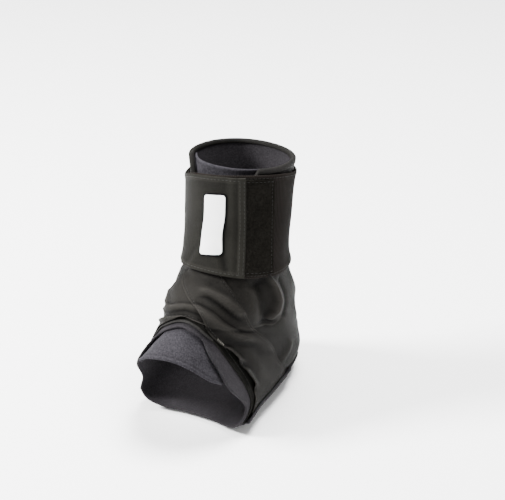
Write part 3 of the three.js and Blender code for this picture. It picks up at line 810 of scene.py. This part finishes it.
# Tape folded over the rim
def folded_tape(name, edge, inner, outer, depth, thick, steps, material, **rest):
    """Tape folded over a closed edge: its section is a narrow arch over the cloth."""
    turns = np.linspace(math.pi, 0, 9)
    middle, radius = (inner + outer) / 2, (outer - inner) / 2

    def arch(r, sink):
        round_part = [(middle + r * math.cos(t), -r * 0.75 * math.sin(t)) for t in turns]
        return [(middle - r, sink), (middle - r, sink / 2)] + round_part + [
            (middle + r, sink / 2), (middle + r, sink)]
    section = np.array(arch(radius + thick, depth) + arch(radius, depth)[::-1])
    around = np.linspace(-180, 180, steps + 1)[:-1]
    a, offset = grid(around, section[:, 0])
    below = edge(a) * ALONG_MM_ABOVE + section[:, 1]
    points = place(drop(np.maximum(below, 0)), a, offset, above=np.maximum(-below, 0))
    count = len(section)
    i, k = np.meshgrid(np.arange(steps), np.arange(count), indexing="ij")
    n, ahead = (k + 1) % count, (i + 1) % steps
    faces = np.stack([v.ravel() for v in (i * count + k, i * count + n, ahead * count + n,
                                          ahead * count + k)], 1)
    across, girth = run(points, 0) / CLOTH_UV, run(points, 1) / CLOTH_UV
    corners = np.stack([girth, across], -1).reshape(-1, 2)[faces].reshape(-1, 2)
    return make(name, points.reshape(-1, 3), faces.tolist(), material, corners,
                np.zeros(steps * count), **rest)


rim = folded_tape("rim_tape", rim_edge, LINER[0] - 0.1, SHELL[0] + SHELL[1] + 0.1, BINDING_DEPTH,
                  TAPE_THICK, 240, TAPE, slot="rim_binding", replaces=["rim_binding"])

# Tape along the front arch, a little lighter than the nylon and lighter still as a painted highlight on
# its rolled edge
s, t = grid(ticks(160, 150, 0.4), ticks(10, 4, 0.4))
a = ARCH_SPAN[0] + (ARCH_SPAN[1] - ARCH_SPAN[0]) * s
u = shell_front(a) + ((t - 1) * ARCH_TAPE_WIDTH + ARCH_TAPE_PAST) / ALONG_MM
arch_tape = sheet_grid("arch_tape", u, a, SHELL[0] + SHELL[1] + 0.05, TAPE_THICK, ARCH_TAPE_AND_HIGHLIGHT)

# The two straps that cross on the instep
def strap_grid(span, front, rear, columns, rows):
    """Places over a strap, from its rear edge, or where the cuff hides it, to its front edge."""
    s, t = grid(ticks(columns, 150, 0.5), ticks(rows, 60, 0.5))
    around = span[0] + (span[1] - span[0]) * s
    start = np.maximum(rear(around), STRAP_TOP)
    end = np.maximum(front(around), start + 0.01)
    return start + (end - start) * t, around


def strap_relief(top, bottom, start, end):
    sides = np.minimum(bottom, top)
    return -0.18 * np.exp(-((sides - 2.6) / 0.6) ** 2), worn_edge(sides, 0.8)


u, a = strap_grid(UNDER_SPAN, under_front, under_rear, 190, 90)
under_base = UNDER[0] + np.maximum(lift(UNDER_FOLDS, u, a) + 0.8, -0.1)
under_base = under_base + 0.12 * (1 + ripple(u, a, 11, 31))
fade = ease((a - 22) / 16) * np.exp(-np.maximum(under_front(a) - u, 0) * ALONG_MM / 9)
under_base = under_base - 0.45 * fade
strap_under = sheet_grid("strap_under_web", u, a, under_base, UNDER[1] - 0.75 * fade, STRAP_CLOTH,
                         relief=strap_relief, shade=body_shade(u, a), slot="strap_under",
                         replaces=["strap_under"])

u, a = strap_grid(OVER_SPAN, over_front, over_rear, 170, 100)
below = OVER_RISE * under_cover(u, a, 7.0)
below = below + np.maximum(lift(UNDER_FOLDS, u, a), 0) * under_cover(u, a, 1.0)
over_base = UNDER[0] + below + np.maximum(lift(OVER_FOLDS, u, a) + 0.3, 0)
over_base = over_base + 0.14 * (1 + ripple(u, a, 12, 41))
strap_over = sheet_grid("strap_over_web", u, a, over_base, UNDER[1], STRAP_CLOTH,
                        relief=strap_relief, shade=body_shade(u, a), slot="strap_over",
                        replaces=["strap_over"])

# Panel under the foot
s, t = grid(ticks(70, 100, 0.8), ticks(70, 110, 0.8))
rounding = SOLE_ROUNDING * (1 - t / SOLE_ROUNDING).clip(0, 1) ** 2
half_span = (SOLE_SPAN[1] - SOLE_SPAN[0]) / 2 * (1 - rounding)
a = 180 + half_span * (2 * s - 1)
u = SOLE_ALONG[0] + (SOLE_ALONG[1] - SOLE_ALONG[0]) * t


def sole_relief(*edges):
    near = np.minimum.reduce(edges)
    return -0.35 * np.exp(-((near - 2.6) / 0.7) ** 2) * ease(near), worn_edge(near)


over_straps = 1.75 * ease((np.abs(a - 180) - 61) / 5)
sole = sheet_grid("sole_knit", u, a, SOLE[0] + over_straps, SOLE[1], SOLE_KNIT, relief=sole_relief,
                  slot="sole", replaces=["sole"])

# Elastic cuff, loop patch, closing tab and label
def cuff_base(along, around):
    """The cuff's inner face: it bridges the straps tucked under it."""
    rise = OVER_RISE * over_cover(along, around, 14.0) + 1.2 * under_cover(along, around, 14.0)
    flare = 0.9 * ease((along - CUFF_END + drop(16)) / drop(16))
    return CUFF_INNER + rise * ease((along - drop(45)) / drop(28)) + flare


def cuff_wave(along, around):
    return 0.18 * ripple(along, around, 26, 51)


s, t = grid(np.linspace(0, 1, 241), ticks(84, 80, 0.8))
a = -180 + 360 * s
u = cuff_top(a) + (CUFF_END - cuff_top(a)) * t


def cuff_relief(top, bottom, start, end):
    near = np.minimum(top, bottom)
    return hem(near, 5.0, 0.2), 0.55 * (1 - ease((near - 4.6) / 0.8)) + 0.4 * worn_edge(near)


cuff = sheet_grid("cuff_elastic", u, a, cuff_base(u, a) + cuff_wave(u, a), CUFF_THICK, ELASTIC,
                  closed=True, relief=cuff_relief, slot="cuff", replaces=["cuff"])

LOOP_INSET = drop(3)
LOOP_LOW = CUFF_END - LOOP_INSET
s, t = grid(ticks(70, 30, 0.8), ticks(90, 74, 0.8))
start = TAB_END[0] + (TAB_END[1] - TAB_END[0]) * t - LOOP_TUCK
a = start + (LOOP_END[0] + (LOOP_END[1] - LOOP_END[0]) * t - start) * s
u = cuff_top(a) + LOOP_INSET + (LOOP_LOW - cuff_top(a) - LOOP_INSET) * t
pile = 0.16 * ripple(u, a, 2.2, 61) + 0.12 * ripple(u, a, 6, 62)


def loop_relief(top, bottom, start, end):
    near = np.minimum.reduce([top, bottom, end])
    return pile * ease(near / 2) - 0.35 * np.exp(-((near - 2.0) / 0.7) ** 2), 0 * near


loop = sheet_grid("loop_pile", u, a, cuff_base(u, a) + cuff_wave(u, a) + CUFF_THICK + 0.05,
                  LOOP_THICK, PILE, relief=loop_relief, slot="loop_patch", replaces=["loop_patch"])

TAB_LOW = CUFF_END - drop(0.4)


def tab_top(around):
    return cuff_top(around) + drop(0.6)


def tab_base(along, around):
    """The tab's inner face: it steps up on to the loop patch."""
    share = (along - tab_top(around)) / (TAB_LOW - tab_top(around))
    edge = TAB_END[0] + (TAB_END[1] - TAB_END[0]) * share - LOOP_TUCK
    step = (LOOP_THICK + 0.1) * ease((around - edge + 10) / 10)
    return cuff_base(along, around) + cuff_wave(along, around) + CUFF_THICK + 0.3 + step


def tab_swell(along, around):
    return 0.25 * ripple(along, around, 24, 71)


s, t = grid(ticks(150, 100, 0.7), ticks(80, 78, 0.7))
a = TAB_START + (TAB_END[0] + (TAB_END[1] - TAB_END[0]) * t - TAB_START) * s
u = tab_top(a) + (TAB_LOW - tab_top(a)) * t
tab_bulge = tab_swell(u, a) + 0.08 * ripple(u, a, 9, 72)


def tab_relief(top, bottom, start, end):
    sides = np.minimum(top, bottom)
    up = np.maximum(hem(sides, 4.4, 0.2), hem(end, 5.6, 0.35))
    band = 0.9 * (1 - ease((end - 5.2) / 0.8)) + 0.8 * np.exp(-((end - 5.9) / 0.5) ** 2)
    return up, np.maximum(0.5 * (1 - ease((sides - 4.2) / 0.6)), np.maximum(band, worn_edge(end)))


tab_offset = tab_base(u, a) + 0.1 + np.maximum(tab_bulge, -0.1)
tab = sheet_grid("closure_tab_web", u, a, tab_offset, TAB_THICK, TAB_CLOTH, relief=tab_relief,
                 slot="closure_tab", replaces=["closure_tab"])


def plate(name, width, height, corner, base, thick, material, frame_at=None, **rest):
    """A rounded plate lying on the tab at the label's place, with a fine groove where asked."""
    s, t = grid(ticks(26, width, 0.5), ticks(56, height, 0.5))
    x, y = (s - 0.5) * width, (t - 0.5) * height
    dx, dy = np.abs(x) - (width / 2 - corner), np.abs(y) - (height / 2 - corner)
    both = (dx > 0) & (dy > 0)
    shrink = np.where(both, np.maximum(dx, dy) / np.maximum(np.hypot(dx, dy), 1e-6), 1)
    x = np.where(both, np.sign(x) * (width / 2 - corner + dx * shrink), x)
    y = np.where(both, np.sign(y) * (height / 2 - corner + dy * shrink), y)
    middle = tab_top(LABEL_PLACE) + drop(LABEL_DROP + LABEL_HEIGHT / 2)
    u = middle + drop(y - LABEL_TURN * x / LABEL_WIDTH)
    radius = SHANK_WIDTH / 2 + cuff_base(middle, LABEL_PLACE) + CUFF_THICK + TAB_THICK
    bow = LABEL_BOW * np.exp(-((y - LABEL_BOW_PLACE) / 10.0) ** 2)
    a = LABEL_PLACE + np.degrees((x - bow) / radius)

    def relief(*edges):
        near = np.minimum.reduce(edges)
        up = 0 * near if frame_at is None else -0.16 * np.exp(-((near - frame_at) / 0.35) ** 2)
        return up, 0 * near

    lying = tab_base(u, a) + 0.1 + np.maximum(tab_swell(u, a), -0.1) + TAB_THICK + base
    sheet_grid(name, u, a, lying, thick, material, relief=relief, **rest)


plate("label_face", LABEL_WIDTH, LABEL_HEIGHT, 2.6, 0.45, 0.6, WHITE, frame_at=1.5,
      slot="label", replaces=["label"])
plate("label_back", LABEL_WIDTH + 2 * LABEL_MARGIN, LABEL_HEIGHT + 2 * LABEL_MARGIN, 3.6, 0.05, 0.5,
      LABEL_EDGE)

# Sewing: rows of stitches as (sheet, edge, inset, first, last)
def sew(name, rows, material, **rest):
    stitches(name, [seam(*row) for row in rows], material, **rest)


TAB, OVER, UNDER_STRAP = "closure_tab_web", "strap_over_web", "strap_under_web"
sew("tab_stitches", [(TAB, 3, 1.4, 0.05, 0.95), (TAB, 3, 4.6, 0.05, 0.95), (TAB, 0, 2.2, 0.03, 0.96),
                     (TAB, 1, 2.2, 0.03, 0.96)], THREAD_LIGHT)
sew("strap_stitches", [(OVER, 1, 2.6), (UNDER_STRAP, 1, 2.6, 0.0, 0.7), (OVER, 0, 2.6, 0.3, 1.0)],
    THREAD)
sew("body_stitches", [("shell_nylon", 1, 5.0), ("arch_tape", 0, 1.2)], THREAD)
# its thread is painted light as a highlight
sew("bar_tack", [(OVER, 1, inset, 0.475, 0.52) for inset in (0.9, 1.5, 2.1)], TACK_THREAD_HIGHLIGHT,
    pitch=1.5, length=1.3, radius=0.26)
sew("sole_stitches", [("sole_knit", edge, 2.6, 0.04, 0.96) for edge in range(4)], THREAD_LIGHT)
sew("cuff_stitches", [("cuff_elastic", edge, 2.4) for edge in (0, 1)], THREAD)
sew("loop_stitches", [("loop_pile", 0, 2.0, 0.3, 0.97), ("loop_pile", 1, 2.0, 0.3, 0.97),
                      ("loop_pile", 3, 2.0, 0.03, 0.97)], PILE_THREAD)

# Stage: floor, light and camera
MIDDLE = (0, 0, 0.1)


def stage_floor():
    """A wide pale floor under the sole."""
    mesh = bpy.data.meshes.new("floor")
    reach = 6.0
    corners = [(-reach, -reach, 0), (reach, -reach, 0), (reach, reach, 0), (-reach, reach, 0)]
    mesh.from_pydata(corners, [], [(0, 1, 2, 3)])
    made, g, bsdf = shader("floor", roughness=0.9, specular=0.1)
    g.put(bsdf.inputs["Base Color"], (0.97, 0.97, 0.97))
    mesh.materials.append(made)
    floor = bpy.data.objects.new("floor", mesh)
    floor.location.z = -0.0003
    bpy.context.scene.collection.objects.link(floor)


def area_light(name, spot, size, power):
    """A round lamp aimed at the middle of the brace."""
    data = bpy.data.lights.new(name, "AREA")
    data.shape = "DISK"
    data.size = size
    data.energy = power
    light = bpy.data.objects.new(name, data)
    light.location = spot
    light.rotation_euler = (Vector(spot) - Vector(MIDDLE)).to_track_quat("Z", "Y").to_euler()
    bpy.context.scene.collection.objects.link(light)


stage_floor()
world = bpy.data.worlds.new("studio")
world.use_nodes = True
background = world.node_tree.nodes["Background"]
background.inputs["Color"].default_value = (1, 1, 1, 1)
background.inputs["Strength"].default_value = 0.75
bpy.context.scene.world = world
area_light("key", (-1.15, -0.75, 1.05), 0.5, 130)
area_light("fill", (1.1, -0.7, 0.7), 0.9, 3)
area_light("top", (0.1, 0.3, 1.5), 0.8, 85)

AZIMUTH, ELEVATION = math.radians(30), math.radians(27)
DISTANCE, FOCAL_PX, WIDTH_PX, HEIGHT_PX, SENSOR_WIDTH = 1540.0, 1904.0, 505.0, 500.0, 36.0
TARGET, TARGET_PX = Vector((0, -3.5, 103.4)), (233.0, 275.0)
back = Vector((math.sin(AZIMUTH) * math.cos(ELEVATION), -math.cos(AZIMUTH) * math.cos(ELEVATION),
               math.sin(ELEVATION)))
right = Vector((0, 0, 1)).cross(back).normalized()
up = back.cross(right)
scale = DISTANCE / FOCAL_PX
camera_data = bpy.data.cameras.new("camera")
camera_data.sensor_width = SENSOR_WIDTH
camera_data.lens = FOCAL_PX * SENSOR_WIDTH / WIDTH_PX
camera_data.clip_start, camera_data.clip_end = 0.05, 50
camera = bpy.data.objects.new("camera", camera_data)
spot = (TARGET + back * DISTANCE - right * (TARGET_PX[0] - WIDTH_PX / 2) * scale
        - up * (HEIGHT_PX / 2 - TARGET_PX[1]) * scale)
facing = Matrix((right, up, back)).transposed().to_4x4()
camera.matrix_world = Matrix.Translation(spot / 1000) @ facing
bpy.context.scene.collection.objects.link(camera)
bpy.context.scene.camera = camera
